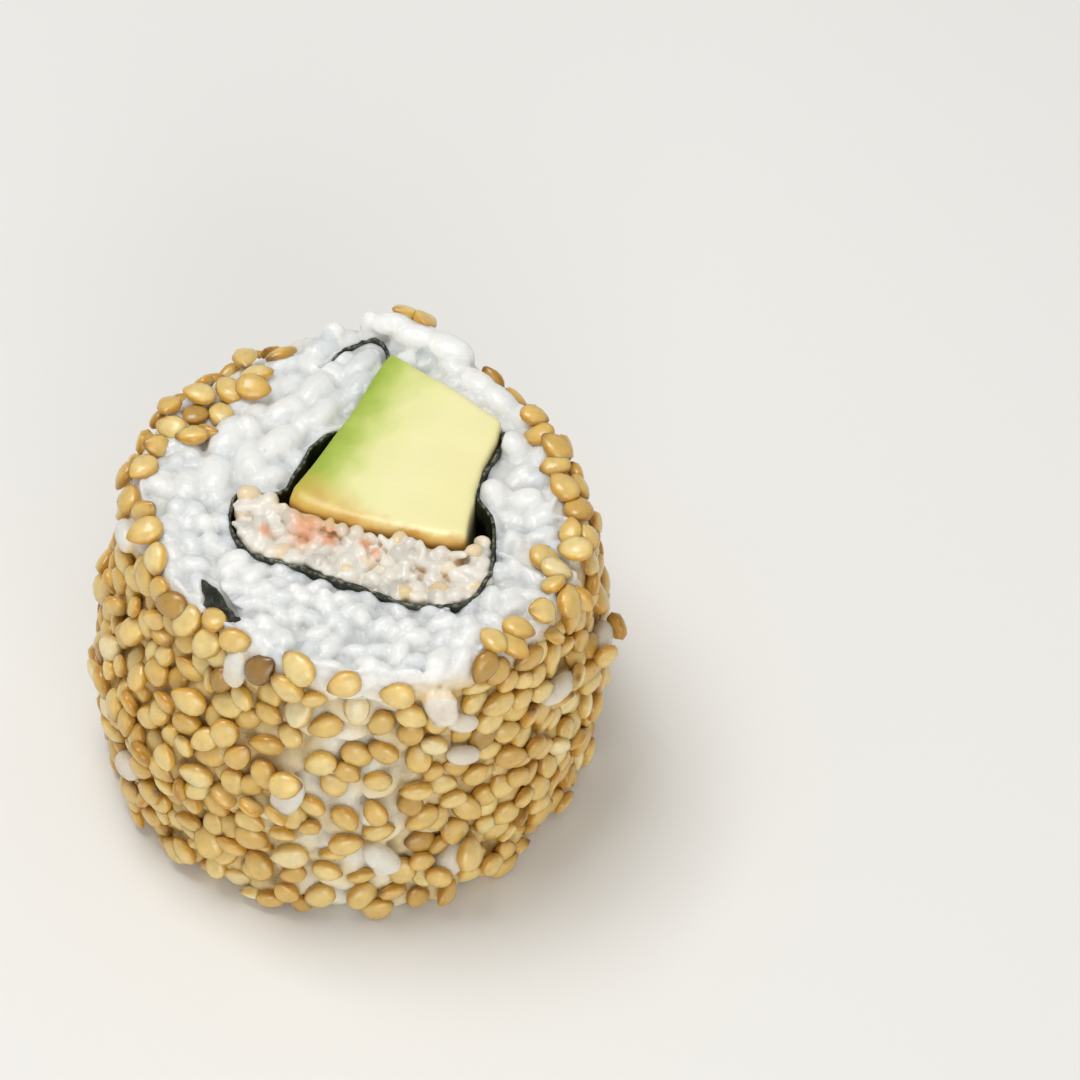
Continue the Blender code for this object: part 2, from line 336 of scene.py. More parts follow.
# Centre line of the nori round the filling, as the strip in the frame runs, and its tail.
noriSet = {
    "wrap": [
        (4.9, 15.0), (8.4, 12.0), (11.8, 9.0), (12.8, 7.8), (12.4, 5.6), (11.5, 3.4), (10.9, 1.8),
        (10.6, 0.3), (11.1, -0.9), (11.9, -2.4), (12.0, -4.6), (11.9, -7.2), (11.0, -9.7), (9.6, -11.3),
        (7.3, -11.6), (4.0, -11.0), (1.4, -9.8), (-1.7, -8.5), (-4.9, -7.1), (-8.0, -5.9), (-9.4, -4.0),
        (-9.8, -1.6), (-9.4, 0.4), (-8.4, 0.7), (-7.0, 0.2), (-5.6, 0.7), (-4.7, 2.3), (-3.4, 5.4),
        (-2.2, 6.9), (-0.8, 8.2), (1.1, 11.8), (2.5, 14.8), (2.9, 16.1),
    ],
    "tail": [(2.4, 17.5), (1.4, 18.0), (0.5, 17.6), (-0.9, 16.6), (-2.9, 14.7)],
    "thickness": 0.3, "step": 0.35, "waveHeight": 0.2, "waveLength": 1.6, "torn": 0.25,
    "coveredDepth": 1.35,  # how far its edge stays under the rice where that closes over it
    "heights": (0.0, 3.0, 7.0, 11.0, 15.0, 19.0, 22.0, 24.5, 26.5, 28.0, 29.0, 29.7, 30.2, 30.6, 30.9),
    "fibres": 0.45, "patches": 2.0,  # widths of the patterns in its finish; real fibres are finer still
}


# A smooth curve through the corners, with this many steps from each to the next.
def smoothLine(corners, steps):
    knots = [Vector(c) for c in corners]
    knots = [2 * knots[0] - knots[1], *knots, 2 * knots[-1] - knots[-2]]
    line = []
    for p, a, b, n in zip(knots, knots[1:], knots[2:], knots[3:]):
        for step in range(steps):
            t = step / steps
            square, cube = 2 * p - 5 * a + 4 * b - n, 3 * a - p - 3 * b + n
            line.append(0.5 * (2 * a + (b - p) * t + square * t * t + cube * t ** 3))
    return [*line, knots[-2]]


def leftOf(line):
    normals = []
    for index in range(len(line)):
        along = (line[min(index + 1, len(line) - 1)] - line[max(index - 1, 0)]).normalized()
        normals.append(Vector((-along.y, along.x)))
    return normals


def uprightBody(name, outline, low, high):
    count = len(outline)
    points = [(p.x, p.y, low) for p in outline] + [(p.x, p.y, high) for p in outline]
    area = sum(p.x * q.y - q.x * p.y for p, q in zip(outline, outline[1:] + outline[:1]))
    faces = [list(range(count))[::-1], list(range(count, 2 * count))]
    faces += [[i, (i + 1) % count, (i + 1) % count + count, i + count] for i in range(count)]
    if area < 0:
        faces = [face[::-1] for face in faces]
    return meshOf(name, points, faces)


wrapLine = smoothLine(noriSet["wrap"], 2)
wholeLine = smoothLine(noriSet["wrap"] + noriSet["tail"], 2)
wallGap = noriSet["thickness"] / 2 + 0.02


# 1 where the rice closes over the nori and meets the avocado at the cut face, 0 where the nori shows.
def covered(point):
    share = min(max((point.y - 7.2) / 1.4, 0), 1)
    return share * min(max((15.9 - point.y) / 0.8, 0), 1)


# What the rice is cut by: room for the filling, its mouth at the cut face, and a slot for the tail.
def channelBody(name):
    return uprightBody(name, [p + n * wallGap for p, n in zip(wrapLine, leftOf(wrapLine))], -5, 29.9)


def mouthBody(name):
    line = smoothLine(noriSet["wrap"], 4)
    outline = [p + n * (wallGap - 0.66 * covered(p)) for p, n in zip(line, leftOf(line))]
    return uprightBody(name, outline, 29.7, 45)


def tailBody(name):
    line = wholeLine[len(wrapLine) - 3:]
    line[-1] = line[-1] + (line[-1] - line[-2]).normalized() * 0.1
    sides = leftOf(line)
    return uprightBody(name, [p + n * wallGap for p, n in zip(line, sides)]
                       + [p - n * wallGap for p, n in reversed(list(zip(line, sides)))], -5, 45)


# Short-grain rice: plump grains a little under 5 mm long, pressed together, broken smaller in front.
riceSet = {
    "length": 4.6, "width": 2.7, "thickness": 2.3, "spread": 0.1, "topSpacing": 2.2, "spacing": 2.2,
    "frontSize": 0.72, "sideInset": 0.95, "topSpread": 0.42, "proud": 0.4, "voxel": 0.2, "seed": 11,
    "coarse": 27.6, "thinned": 0.37,  # below this height the mesh is thinned to this share
    "coreSides": 72, "coreLevels": (1.2, 3.0, 8.0, 14.0, 20.0, 26.0, 28.6, 30.25),
    "clouds": 3.8, "pebbles": 0.9, "grit": 0.67,  # widths of the patterns in its finish
    "lumps": [(0.9, 0.07), (0.42, 0.05)],  # size and height of the relief on the grains
    # Grains that lie loose among the sesame: angle in degrees, height, size.
    "loose": [(-120, 28.2, 0.85), (-104, 17.0, 1.0), (-83, 9.0, 0.95), (-66, 6.8, 0.9),
              (-63, 24.6, 0.75), (-63, 20.4, 0.75), (-173, 29.0, 0.8), (-68, 27.2, 1.0),
              (-36, 21.5, 0.85), (-15, 19.5, 0.85), (96, 18.0, 0.9), (150, 11.0, 0.9),
              (52, 22.0, 0.9), (20, 8.0, 0.9), (-150, 9.0, 0.85), (120, 25.0, 0.9)],
    # Whole grains lying on the cut face: x, y, top, heading in degrees, size, whiteness.
    "lying": [(3.2, 19.0, 32.6, 5, 0.75, 0.9), (5.2, 18.1, 32.3, -22, 1.05, 0.95),
              (7.9, 16.7, 32.1, -28, 1.05, 0.95), (10.2, 13.2, 31.7, -38, 1.0, 0.8),
              (12.3, 11.2, 31.5, -45, 0.9, 0.6), (8.6, 14.7, 31.6, -30, 0.75, 0.7),
              (-5.7, 15.4, 31.4, 24, 1.0, 0.05), (-2.7, 17.1, 31.6, 32, 0.95, 0.1),
              (0.7, 15.2, 31.5, 54, 0.95, 0.0), (0.4, 12.6, 31.5, 62, 0.9, 0.1),
              (-8.4, 4.4, 31.6, 105, 1.1, 0.8), (-5.6, 9.9, 31.7, 42, 1.1, 0.85),
              (-3.3, 12.3, 31.6, 58, 1.05, 0.4), (-2.6, 9.6, 31.5, 60, 0.9, 0.5),
              (-5.9, 6.6, 31.6, 50, 1.05, 0.8), (-4.2, 8.3, 31.5, 48, 0.8, 0.6),
              (-7.0, 2.4, 31.5, 25, 0.9, 0.7), (-10.4, 6.8, 31.6, 70, 1.1, 0.7),
              (-11.4, 3.0, 31.5, 95, 1.05, 0.8), (-7.6, 12.4, 31.6, 40, 1.05, 0.6),
              (-5.4, 13.0, 31.4, 30, 0.9, 0.3), (-13.6, 1.6, 31.4, 80, 1.0, 0.5),
              (15.6, -1.2, 31.3, 80, 1.0, 0.5), (16.2, 5.4, 31.3, 70, 1.0, 0.6),
              (14.6, 9.0, 31.4, -50, 0.95, 0.5), (-15.0, -3.2, 31.2, 100, 0.9, 0.4)],
    # Grains on end, which show round tops: x, y, top, diameter, whiteness.
    "ends": [(-8.7, 15.6, 32.5, 2.4, 0.5), (-1.8, 18.3, 32.2, 2.5, 0.8), (1.2, 19.6, 32.6, 2.3, 0.9),
             (-8.3, 8.2, 31.9, 3.1, 0.7), (12.6, 0.9, 32.0, 3.3, 0.05), (13.9, 6.5, 32.0, 3.3, 0.1),
             (13.6, -4.3, 31.8, 3.0, 0.05), (13.9, -7.2, 31.5, 2.6, 0.3), (-11.9, -2.4, 31.6, 2.6, 0.1),
             (-11.1, -4.4, 31.6, 2.5, 0.05), (-13.8, -0.9, 31.6, 2.8, 0.2), (-9.6, -7.7, 31.3, 2.3, 0.3),
             (-14.4, 4.2, 31.6, 2.9, 0.6), (-6.5, -9.4, 31.3, 2.1, 0.35), (-4.2, -9.4, 31.3, 1.8, 0.3),
             (-1.6, -10.2, 31.3, 1.9, 0.35), (1.4, -12.4, 31.3, 2.1, 0.4), (5.3, -13.4, 31.3, 2.3, 0.3),
             (10.1, -13.0, 31.3, 2.3, 0.35), (8.0, -19.0, 29.4, 2.6, 0.9)],
}


# How thickly the seeds lie: 1 is covered, and a strip down the front is nearly bare.
def sparseness(angle, height):
    degrees = math.degrees(angle) % 360
    gap = math.exp(-((degrees - 270) / 19) ** 2)
    return 1 - gap * (0.75 + 0.25 * math.sin(height * 0.9 + degrees * 0.21))


def frontness(x, y):
    return np.clip((-y - 3.0) / 6.0 - np.clip((x - 11) / 4, 0, 1), 0, 1)


flapOutward = np.array((-0.497, -0.448, 0.743))  # the way the torn scrap on the rim faces


# Room in front of the torn scrap, so that the rice doesn't hide it.
def flapPocket(name):
    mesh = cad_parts["nori_flap"].data.copy()
    mesh.transform(toDrawing)
    coords = coordsOf(mesh)
    middle = coords.mean(0)
    front = (coords - middle) @ flapOutward > 0
    coords = middle + (coords - middle) * 1.08 + flapOutward * np.where(front, 3.0, 0.02)[:, None]
    mesh = meshOf(name, coords, [p.vertices[:] for p in mesh.polygons])
    welded = newObject(name, mesh)
    welded.modifiers.new("weld", "WELD").merge_threshold = 0.001
    return bake(welded)


def aimSide(source):
    angle, height = source.uniform(0, math.tau), source.uniform(0.9, 29.8)
    return sidePlace(angle, height, riceSet["sideInset"] + source.uniform(1.05, 1.5))


def aimTop(source):
    angle, reach = source.uniform(0, math.tau), math.sqrt(source.random())
    radius = reach * (float(sideRadius(angle, 29.0)) - 1.2)
    x, y = radius * math.cos(angle), radius * math.sin(angle)
    front = float(frontness(x, y))
    size = source.uniform(0.8, 1.1) * (1 - (1 - riceSet["frontSize"]) * front)
    uneven = source.uniform(-1.0, 0.5) * riceSet["topSpread"] * (1 - 0.7 * front)
    height = rollHeight - 0.46 * riceSet["thickness"] * size + uneven
    return Vector((x, y, height)), Vector((0, 0, 1)), size


def aimBase(source):
    angle, radius = source.uniform(0, math.tau), math.sqrt(source.random()) * 19.5
    return Vector((radius * math.cos(angle), radius * math.sin(angle), 1.3)), Vector((0, 0, -1)), 1.0


def aimRim(source):
    angle, height, inset = source.uniform(0, math.tau), source.uniform(29.3, 30.0), source.uniform(1.3, 1.8)
    return *sidePlace(angle, height, inset), 0.75


# All the grains and how white each is, and the numbers of the first loose one and the first lying one.
def layGrains():
    settings, source = riceSet, random.Random(riceSet["seed"])
    darts = throwDarts(source, 6500, settings["topSpacing"], aimTop)
    darts += [(*dart, 1.0) for dart in throwDarts(source, 9000, settings["spacing"], aimSide)]
    darts += throwDarts(source, 1200, 2.6, aimBase)
    darts += throwDarts(source, 1500, 1.9, aimRim)
    grains, tints = [], []
    for centre, normal, size in darts:
        grains.append((centre, randomTurn(source, normal, 0.3)[0], size))
        tints.append(source.uniform(0.1, 0.95))
    looseFrom = len(grains)
    for angle, height, size in settings["loose"]:
        centre, normal = sidePlace(math.radians(angle), height, 0.3)
        grains.append((centre, randomTurn(source, normal, 0.15)[0], size))
        tints.append(0.1)
    lyingFrom = len(grains)
    for x, y, top, heading, size, white in settings["lying"]:
        turn = Euler((source.gauss(0, 0.15), source.gauss(0, 0.08), math.radians(heading)))
        grains.append((Vector((x, y, top - settings["thickness"] * size / 2)), turn, size))
        tints.append(white)
    for x, y, top, width, white in settings["ends"]:
        size = width / settings["width"]
        turn = Euler((source.gauss(0, 0.2), math.pi / 2 + source.gauss(0, 0.2), source.uniform(0, 6)))
        grains.append((Vector((x, y, top - settings["length"] * size / 2)), turn, size))
        tints.append(white)
    return grains, np.array(tints), looseFrom, lyingFrom


# A plain core fills the space behind the grains.
def riceCore():
    sides, levels = riceSet["coreSides"], riceSet["coreLevels"]
    points, faces = [], []
    for level in levels:
        inset = riceSet["sideInset"] + (0.9 if level < 29 else 1.5)
        for i in range(sides):
            place = sidePlace(math.tau * i / sides, level, inset)[0]
            points.append((place.x, place.y, level))
    points += [(0, 0, levels[0]), (0, 0, levels[-1])]
    for low in range(0, (len(levels) - 1) * sides, sides):
        faces += [[low + i, low + (i + 1) % sides, low + sides + (i + 1) % sides, low + sides + i]
                  for i in range(sides)]
    faces += [[(i + 1) % sides, i, len(points) - 2] for i in range(sides)]
    last = (len(levels) - 1) * sides
    faces += [[last + i, last + (i + 1) % sides, len(points) - 1] for i in range(sides)]
    return meshOf("core", points, faces)


# Angle and radius of each point, and the radius that the rice is pressed to there.
def roundPlaces(coords):
    angles = np.arctan2(coords[:, 1], coords[:, 0])
    pressed = sideRadius(angles, np.clip(coords[:, 2], 1, 30.5)) - riceSet["sideInset"]
    return angles, np.hypot(coords[:, 0], coords[:, 1]), pressed


# Pressed flush: nothing stands far out of the barrel, and the base is flat.
def pressFlush(body, grainCount, looseFrom, lyingFrom):
    coords = coordsOf(body)
    owner = np.repeat(np.arange(grainCount), len(coords) // grainCount)
    slack = np.where(owner < looseFrom, 0.1, np.where(owner < lyingFrom, 1.6, 1.4))
    radii, pressed = roundPlaces(coords)[1:]
    over = np.maximum(radii - (pressed + slack), 0)
    coords[:, :2] *= ((radii - over * 0.85) / radii)[:, None]
    above = np.maximum(coords[:, 2] - (rollHeight + riceSet["proud"]), 0) * (owner < looseFrom)
    coords[:, 2] -= above * 0.8
    coords[:, 2] = np.maximum(coords[:, 2], 0.0)
    setCoords(body, coords)


# The seeds hide the rice below the rim, so its mesh can be coarser there.
def thinBelow(mesh):
    thing = newObject("rice", mesh)
    under = thing.vertex_groups.new(name="under")
    under.add([int(i) for i in np.flatnonzero(coordsOf(mesh)[:, 2] < riceSet["coarse"])], 1.0, "REPLACE")
    thinner = thing.modifiers.new("thin out below", "DECIMATE")
    thinner.ratio, thinner.vertex_group = riceSet["thinned"], "under"
    return bake(thing)


# Small lumps on the grains, strongest in front, where they are broken and pressed.
def addLumps(mesh):
    coords = coordsOf(mesh)
    normals = np.array([v.normal[:] for v in mesh.vertices])
    relief = np.zeros(len(coords))
    for size, height in riceSet["lumps"]:
        relief += height * np.array([noise.noise(Vector(c) / size) for c in coords])
    relief *= 0.4 + 0.6 * frontness(coords[:, 0], coords[:, 1])
    coords += normals * relief[:, None]
    coords[:, 2] = np.where(coords[:, 2] < 0.12, 0.0, coords[:, 2])
    setCoords(mesh, coords)


# The number of the nearest centre for each point of a mesh.
def nearestOf(centres, coords):
    near = KDTree(len(centres))
    for index, centre in enumerate(centres):
        near.insert(centre, index)
    near.balance()
    return np.array([near.find(c)[1] for c in coords])


def buildRice():
    settings = riceSet
    grains, tints, looseFrom, lyingFrom = layGrains()
    shape = turnedShape("grain", lambda t: (1 - abs(t) ** 2.6) ** 0.5, 12, 12, bend=0.25)
    body = scatterShape("rice grains", grains, shape, settings["length"], settings["width"],
                        settings["thickness"], settings["spread"], 3)
    pressFlush(body, len(grains), looseFrom, lyingFrom)
    mesh = fuse("rice", [body, riceCore()], settings["voxel"], 1)
    print("rice fused:", len(mesh.vertices))
    mesh = thinBelow(mesh)
    print("rice thinned:", len(mesh.vertices))
    addLumps(mesh)
    cutters = [channelBody("channel"), mouthBody("mouth"), tailBody("tail slot"), flapPocket("pocket")]
    mesh = cutAway(mesh, cutters)
    print("rice cut:", len(mesh.vertices))

    # Each grain keeps its tint; the hollows between grains get the mask for the painted shade in them; and
    # the side below the cut face gets the mask for painted shade and golden bounce light from the seeds,
    # which makes it creamier.
    coords = coordsOf(mesh)
    nearest = nearestOf([grain[0] for grain in grains], coords)
    angles, radii, pressed = roundPlaces(coords)
    depthTop = rollHeight - coords[:, 2]
    depth = np.minimum(np.maximum(pressed - radii, 0), np.maximum(depthTop, 0))
    addValues(mesh, "tint", tints[nearest])
    addValues(mesh, "hollow", np.clip(depth / 1.6, 0, 1))
    # Below the cut face the rice gets a mask for painted shade and bounce light from the seeds, weaker on the
    # loose grains.
    coated = np.clip((depthTop - 0.6) / 2.2, 0, 1) * np.where(nearest >= looseFrom, 0.35, 1.0)
    addValues(mesh, "coated", coated)
    # Where the seeds lie thickest, the mask for the golden bounce light from them is strongest.
    addValues(mesh, "oily", [sparseness(a, z) for a, z in zip(angles, coords[:, 2])])
    return mesh


riceMesh = buildRice()


# Boiled, seasoned rice: wet and translucent, white on the cut face, with painted shade in the hollows between
# grains; below the cut face it is painted creamy, and golden where the seeds lie thickest, as painted shade
# and bounce light from the seeds.
def riceFinish():
    finish, tree, shader = newFinish("cooked rice")
    place = addNode(tree, "ShaderNodeTexCoord").outputs["Object"]
    tint, hollow, coated, oily = (addNode(tree, "ShaderNodeAttribute", attribute_name=name).outputs["Fac"]
                                  for name in ("tint", "hollow", "coated", "oily"))
    patches, fine = (addNode(tree, "ShaderNodeTexNoise", {
        "Vector": place, "Scale": 1 / (riceSet[name] * mm), "Detail": detail}).outputs["Fac"]
        for name, detail in (("clouds", 3.0), ("grit", 2.0)))
    grain = setStops(addNode(tree, "ShaderNodeValToRGB", {"Fac": tint}),
                     [(0.0, "B7BFC2"), (0.25, "D3D6D6"), (0.6, "E2E2DF"), (1.0, "EEECE8")])
    cloudy = addNode(tree, "ShaderNodeMix", {0: patches, 6: grain, 7: "E2E3E1"}, data_type="RGBA").outputs[2]
    # Painted shade and bounce light from the seeds: the side is creamy, and golden where the seeds lie
    # thickest.
    sideBounceColour = setStops(addNode(tree, "ShaderNodeValToRGB", {"Fac": oily}),
                     [(0.1, "EDE6D4"), (0.6, "E6D2A4"), (1.0, "DDBB78")])
    sided = addNode(tree, "ShaderNodeMix", {0: coated, 6: cloudy, 7: sideBounceColour}, data_type="RGBA").outputs[2]
    # Painted shade: the hollows between grains are multiplied towards blue-grey.
    shadeAmount = addNode(tree, "ShaderNodeMath", {0: hollow, 1: 0.5}, operation="MULTIPLY").outputs[0]
    shade = addNode(tree, "ShaderNodeMix", {0: shadeAmount, 6: sided, 7: "BCC2C4"},
                    data_type="RGBA", blend_type="MULTIPLY").outputs[2]
    wet = addNode(tree, "ShaderNodeMapRange", {0: patches, 3: 0.18, 4: 0.36}).outputs[0]
    pebbles = addNode(tree, "ShaderNodeTexVoronoi", {
        "Vector": place, "Scale": 1 / (riceSet["pebbles"] * mm)}, feature="SMOOTH_F1").outputs["Distance"]
    pitted = addNode(tree, "ShaderNodeMath", {0: fine, 1: pebbles}, operation="SUBTRACT").outputs[0]
    bump = addNode(tree, "ShaderNodeBump", {"Height": pitted, "Strength": 0.35, "Distance": 0.4 * mm})
    fillInputs(tree, shader, {
        "Base Color": shade, "Roughness": wet, "Normal": bump.outputs[0], "IOR": 1.38,
        "Subsurface Weight": 0.75, "Subsurface Radius": (1.0, 0.9, 0.8), "Subsurface Scale": 2 * mm})
    return finish


finishPiece("pressed_rice", riceMesh.copy(), riceFinish(), ["rice"])
riceSkin = BVHTree.FromPolygons([v.co[:] for v in riceMesh.vertices],
                                [p.vertices[:] for p in riceMesh.polygons])
print("rice done")


# Toasted sesame: plump drop-shaped seeds 3 mm long with a thin lip, close together all over the side.
sesameSet = {
    "length": 3.05, "width": 2.4, "thickness": 1.3, "spread": 0.08, "sunk": 0.3,
    "darts": 40000, "closeness": 0.76, "skin": 1.1,  # width of the pattern in the seeds' skin
    # Where the seeds begin on the cut face: angle in degrees, radius.
    "rim": [(0, 17.9), (11, 17.2), (24, 17.0), (39, 18.0), (60, 20.5), (75, 22.5), (105, 22.5), (112, 18.0),
            (118, 14.2), (136, 14.0), (145, 13.4), (153, 14.4), (160, 16.6), (173, 17.8), (189, 16.3),
            (203, 17.0), (218, 17.2), (228, 16.4), (240, 17.6), (246, 18.2), (257, 18.0), (269, 18.4),
            (276, 20.0), (284, 19.8), (289, 21.3), (298, 22.0), (303, 20.6), (310, 18.8), (318, 19.3),
            (331, 19.0), (338, 18.2), (348, 18.2), (360, 17.9)],
    # Well toasted ones: angle in degrees, height.
    "dark": [(-77, 18), (-78, 16), (-112, 29), (-103, 20), (-97, 23), (-40, 26)],
    "behind": [(4.3, 20.4, 31.6), (5.9, 19.7, 31.4)],  # two that look over the back rim
    "seed": 5,
}
rimAngles = [math.radians(a) for a, _ in sesameSet["rim"]]
rimRadii = [radius for _, radius in sesameSet["rim"]]


# A place for a seed, on the cut face's rim in one try of six, or else on the side.
def aimSeed(source):
    angle = source.uniform(0, math.tau)
    start = float(np.interp(angle, rimAngles, rimRadii))
    out = Vector((math.cos(angle), math.sin(angle), 0))
    if source.random() < 0.16:
        radius = source.uniform(13.0, 22.0)
        if radius < start or radius > float(sideRadius(angle, 30.6)) + 0.4:
            return None
        above = Vector((radius * math.cos(angle), radius * math.sin(angle), 40))
        hit, normal = riceSkin.ray_cast(above, Vector((0, 0, -1)))[:2]
        if hit is None or hit.z < 28.5:
            return None
        outward = sidePlace(angle, 30.0, 0)[1] * max(0, radius - 17.5) * 0.3
        return hit, normal, (Vector((0, 0, 1)) + outward).normalized(), angle
    height = source.uniform(0.9, 30.2)
    if height > 27 and float(sideRadius(angle, height)) < start:
        return None
    hit, normal = riceSkin.ray_cast(out * 60 + Vector((0, 0, height)), -out)[:2]
    return None if hit is None else (hit, normal, sidePlace(angle, height, 0)[1], angle)


# Most seeds are evenly toasted, and a few are darker or nearly raw.
def toastOf(source, hit, dark):
    kind, toast = source.random(), source.gauss(0.4, 0.08)
    if kind > 0.93:
        toast = source.uniform(0.55, 0.8) if kind < 0.965 else source.uniform(0.05, 0.2)
    if any((hit - place).length < 1.1 for place in dark):
        toast = 0.95
    return min(max(toast, 0), 1)


# Each seed keeps clear of the others at three points along it. Later ones may lie over the gaps between.
def laySeeds():
    settings, source = sesameSet, random.Random(sesameSet["seed"])
    reach = settings["length"] * 0.16
    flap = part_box("nori_flap")
    clear = [sidePlace(math.radians(a), z, 0.6)[0] for a, z, _ in riceSet["loose"]]
    clear.append(toDrawing @ ((Vector(flap[0]) + Vector(flap[1])) / 2))
    dark = [sidePlace(math.radians(a), z, 0.0)[0] for a, z in settings["dark"]]
    kept, taken = [], np.zeros((0, 3))
    for number in range(settings["darts"]):
        place = aimSeed(source)
        if place is None or any((place[0] - spot).length < 2.0 for spot in clear):
            continue
        hit, normal, flat, angle = place
        onEdge = source.random() < 0.1
        turn, along = randomTurn(source, (flat + normal * 0.6).normalized(), 0.7 if onEdge else 0.16)
        scale = source.uniform(0.84, 1.08)
        ends = np.array([hit + along * reach * k for k in (-1, 0, 1)])
        later = number > settings["darts"] * 0.55
        bare = 1 - sparseness(angle, hit.z)
        need = settings["width"] * settings["closeness"] * (0.66 + 0.5 * bare if later else 1 + 0.45 * bare)
        if len(taken) and (((taken[:, None, :] - ends[None]) ** 2).sum(2) < need ** 2).any():
            continue
        taken = np.vstack((taken, ends))
        centre = hit + flat * (settings["thickness"] * 0.5 - settings["sunk"] + (0.25 if later else 0.0))
        centre.z = max(centre.z, 1.4)
        kept.append((centre, turn, scale, (toastOf(source, hit, dark), source.random())))
    for place in settings["behind"]:
        turn = randomTurn(source, Vector((0.3, 0.6, 0.7)), 0.2)[0]
        kept.append((Vector(place), turn, 1.0, (0.35, 0.3)))
    print("sesame seeds:", len(kept))
    return kept


def buildSesame():
    settings = sesameSet

    def seedProfile(t):
        tip = max(t - 0.15, 0) / 0.85
        return (1 - t * t) ** 0.5 * (1 - 0.15 * t) * (1 - 0.32 * tip ** 1.6)

    # The lip runs round the rim; the two faces swell up from it like a cushion.
    shape = turnedShape("sesame seed", seedProfile, 8, 10, flat=0.5)
    coords = coordsOf(shape)
    onLip = np.abs(coords[:, 2]) < 1e-4
    coords[:, 1] *= np.where(onLip, 1.0, 0.95)
    setCoords(shape, coords)
    addValues(shape, "along", coords[:, 0] + 0.5)
    swell = np.abs(coords[:, 2]) / 0.5
    # A mask for painted shade on each seed: full on the lip, fading out up the two faces.
    addValues(shape, "edge", np.where(onLip, 1.0, 0.7 * np.clip(1 - swell, 0, 1)))
    seeds = scatterShape("sesame", laySeeds(), shape, settings["length"], settings["width"],
                         settings["thickness"], settings["spread"], 7, names=("toast", "fleck"))
    coords = coordsOf(seeds)
    coords[:, 2] = np.maximum(coords[:, 2], 0.02)
    setCoords(seeds, coords)
    return seeds


# Lightly toasted hulled sesame: waxy, pale gold in the middle, amber at the pointed tip, and amber towards
# the rim as painted shade.
def sesameFinish():
    finish, tree, shader = newFinish("toasted sesame")
    place = addNode(tree, "ShaderNodeTexCoord").outputs["Object"]
    toast, along, edge, fleck = (addNode(tree, "ShaderNodeAttribute", attribute_name=name).outputs["Fac"]
                                 for name in ("toast", "along", "edge", "fleck"))
    body, rimShadeColour = (setStops(addNode(tree, "ShaderNodeValToRGB", {"Fac": toast}), stops) for stops in (
        [(0.0, "F0E4C0"), (0.25, "E6CF8C"), (0.45, "DAB767"), (0.65, "C79F4C"), (1.0, "8E6A34")],
        [(0.0, "E0C680"), (0.25, "D2A746"), (0.45, "C18E30"), (0.65, "A87A26"), (1.0, "523412")]))
    # Painted shade: the seeds' rims go amber.
    rim = addNode(tree, "ShaderNodeMapRange", {0: edge, 1: 0.1, 2: 0.8}).outputs[0]
    rimShaded = addNode(tree, "ShaderNodeMix", {0: rim, 6: body, 7: rimShadeColour}, data_type="RGBA").outputs[2]
    tip = addNode(tree, "ShaderNodeMapRange", {0: along, 1: 0.82, 2: 1.0}).outputs[0]
    dark = addNode(tree, "ShaderNodeMath", {0: tip, 1: fleck}, operation="MULTIPLY").outputs[0]
    tipped = addNode(tree, "ShaderNodeMix", {0: dark, 6: rimShaded, 7: "6B4519"}, data_type="RGBA").outputs[2]
    skin = addNode(tree, "ShaderNodeTexNoise", {
        "Vector": place, "Scale": 1 / (sesameSet["skin"] * mm), "Detail": 3.0}).outputs["Fac"]
    mottle = addNode(tree, "ShaderNodeMapRange", {0: skin, 1: 0.35, 2: 0.7, 3: 0.9, 4: 1.08}).outputs[0]
    mottled = addNode(tree, "ShaderNodeVectorMath", {0: tipped, 1: mottle}, operation="MULTIPLY").outputs[0]
    bump = addNode(tree, "ShaderNodeBump", {"Height": skin, "Strength": 0.5, "Distance": 0.2 * mm}).outputs[0]
    rough = addNode(tree, "ShaderNodeMapRange", {0: skin, 3: 0.2, 4: 0.42}).outputs[0]
    fillInputs(tree, shader, {
        "Base Color": mottled, "Roughness": rough, "Normal": bump, "IOR": 1.5,
        "Coat Weight": 0.35, "Coat Roughness": 0.2, "Subsurface Weight": 0.55,
        "Subsurface Radius": (1.0, 0.7, 0.25), "Subsurface Scale": 0.9 * mm})
    return finish


# The record has no slot for the seeds, so no frame part is hidden for them.
finishPiece("sesame_seeds", buildSesame(), sesameFinish(), [])
print("sesame done")


# The line again, with a corner at every step along it.
def evenLine(corners, step):
    fineLine = smoothLine(corners, 16)
    line, travelled = [fineLine[0]], 0.0
    for before, after in zip(fineLine, fineLine[1:]):
        travelled += (after - before).length
        if travelled >= step:
            line.append(after)
            travelled = 0.0
    return line


